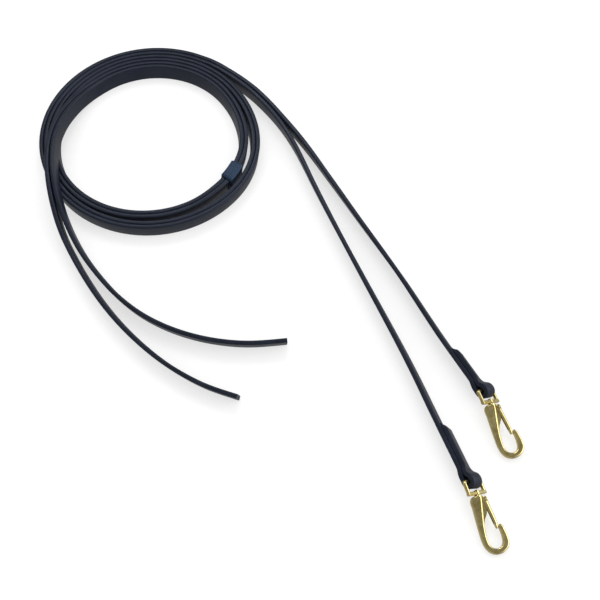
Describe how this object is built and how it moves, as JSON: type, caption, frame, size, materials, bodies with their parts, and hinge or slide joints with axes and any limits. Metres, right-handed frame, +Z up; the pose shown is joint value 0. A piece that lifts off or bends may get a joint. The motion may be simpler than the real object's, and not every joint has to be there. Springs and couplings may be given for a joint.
{
  "type": "training leash",
  "caption": "Pair of flat training leash straps, coiled together, each with a folded end loop and a swivel spring snap.",
  "frame": {"origin": "centre of the coil, on the surface that the coil lies on", "axes": "+Z up; the leads leave the coil towards +X and -Y, to the two snaps"},
  "size_m": [0.4244, 0.5015, 0.0352],
  "materials": {
    "strap": "satin",
    "keeper": "satin",
    "thread": "matte",
    "brass": "polished",
    "spring": "satin"
  },
  "bodies": {
    "straps": {"strap_coil": "strap", "lead_strap_1": "strap", "tail_strap_1": "strap", "end_loop_1": "strap", "lap_stitching_1": "thread", "lead_strap_2": "strap", "tail_strap_2": "strap", "end_loop_2": "strap", "lap_stitching_2": "thread"},
    "keeper": {"keeper": "keeper"},
    "eye_1": {"swivel_eye_1": "brass"},
    "hook_1": {"snap_body_1": "brass", "swivel_rivet_1": "brass", "gate_pin_1": "brass", "gate_spring_1": "spring"},
    "gate_1": {"snap_gate_1": "brass"},
    "eye_2": {"swivel_eye_2": "brass"},
    "hook_2": {"snap_body_2": "brass", "swivel_rivet_2": "brass", "gate_pin_2": "brass", "gate_spring_2": "spring"},
    "gate_2": {"snap_gate_2": "brass"}
  },
  "joints": [
    {"name": "keeper_slide", "type": "hinge", "parent": "straps", "child": "keeper", "pos_m": [0, 0, 0], "axis": [0, 0, 1], "range_deg": [-4, 4]},
    {"name": "eye_swing_1", "type": "hinge", "parent": "straps", "child": "eye_1", "pos_m": [0.2909, -0.2606, 0.0116], "axis": [-0.6672, -0.3704, 0.6463], "range_deg": [-75, 75]},
    {"name": "hook_swivel_1", "type": "hinge", "parent": "eye_1", "child": "hook_1", "pos_m": [0.29539, -0.2716, 0.00993], "axis": [0.3742, -0.9169, -0.1392], "continuous": true},
    {"name": "gate_open_1", "type": "hinge", "parent": "hook_1", "child": "gate_1", "pos_m": [0.30092, -0.27405, 0.00932], "axis": [-0.0526, 0.1289, -0.9903], "range_deg": [0, 16], "stiffness_Nm_per_rad": 0.05, "springref_deg": -20.05, "deforming": ["gate_spring_1"]},
    {"name": "eye_swing_2", "type": "hinge", "parent": "straps", "child": "eye_2", "pos_m": [0.2746, -0.3393, 0.0111], "axis": [-0.693, -0.3389, 0.6364], "range_deg": [-75, 75]},
    {"name": "hook_swivel_2", "type": "hinge", "parent": "eye_2", "child": "hook_2", "pos_m": [0.27855, -0.35051, 0.00943], "axis": [0.3289, -0.934, -0.1392], "continuous": true},
    {"name": "gate_open_2", "type": "hinge", "parent": "hook_2", "child": "gate_2", "pos_m": [0.28396, -0.35322, 0.00882], "axis": [-0.0462, 0.1313, -0.9903], "range_deg": [0, 16], "stiffness_Nm_per_rad": 0.05, "springref_deg": -20.05, "deforming": ["gate_spring_2"]}
  ]
}
